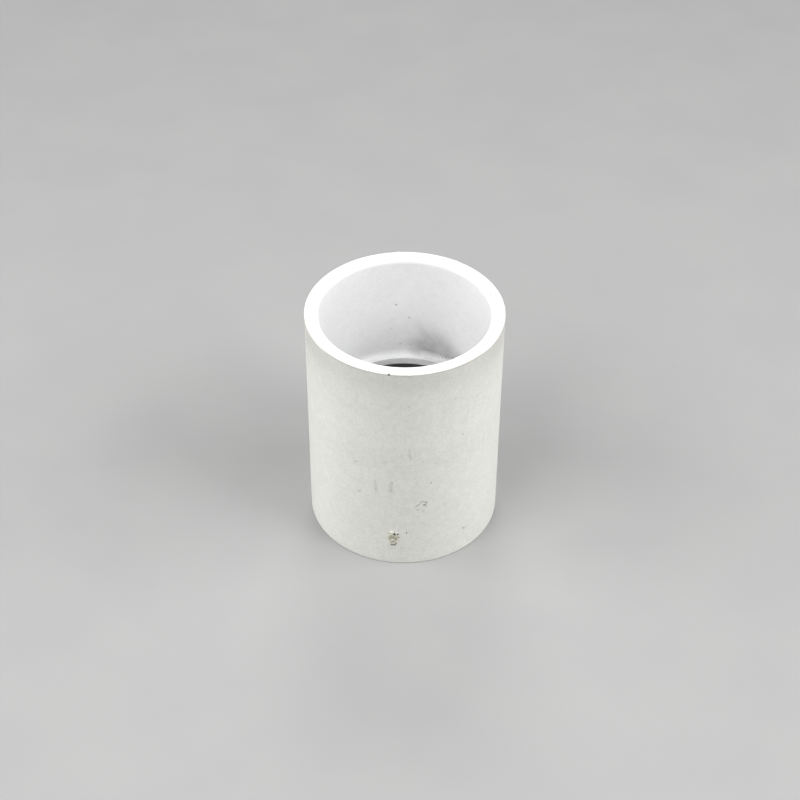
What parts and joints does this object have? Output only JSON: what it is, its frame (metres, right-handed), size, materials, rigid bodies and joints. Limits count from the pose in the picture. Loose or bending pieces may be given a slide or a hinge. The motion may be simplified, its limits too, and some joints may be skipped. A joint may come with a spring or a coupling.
{
  "type": "reducing coupling",
  "caption": "Straight white plastic pipe coupling: a plain round barrel with a 50 mm glue socket at the top, a slightly smaller one below and a stop ring between.",
  "frame": {"origin": "centre of the lower end face, on the pipe axis", "axes": "+Z along the pipe axis, from the smaller socket's end face to the larger socket's end face"},
  "size_m": [0.0586, 0.0586, 0.075],
  "materials": {
    "white_pvc": "as-moulded satin white PVC, slightly warm and faintly translucent, with handling scuffs"
  },
  "bodies": {
    "root": {"coupling_body": "white_pvc"}
  },
  "joints": []
}
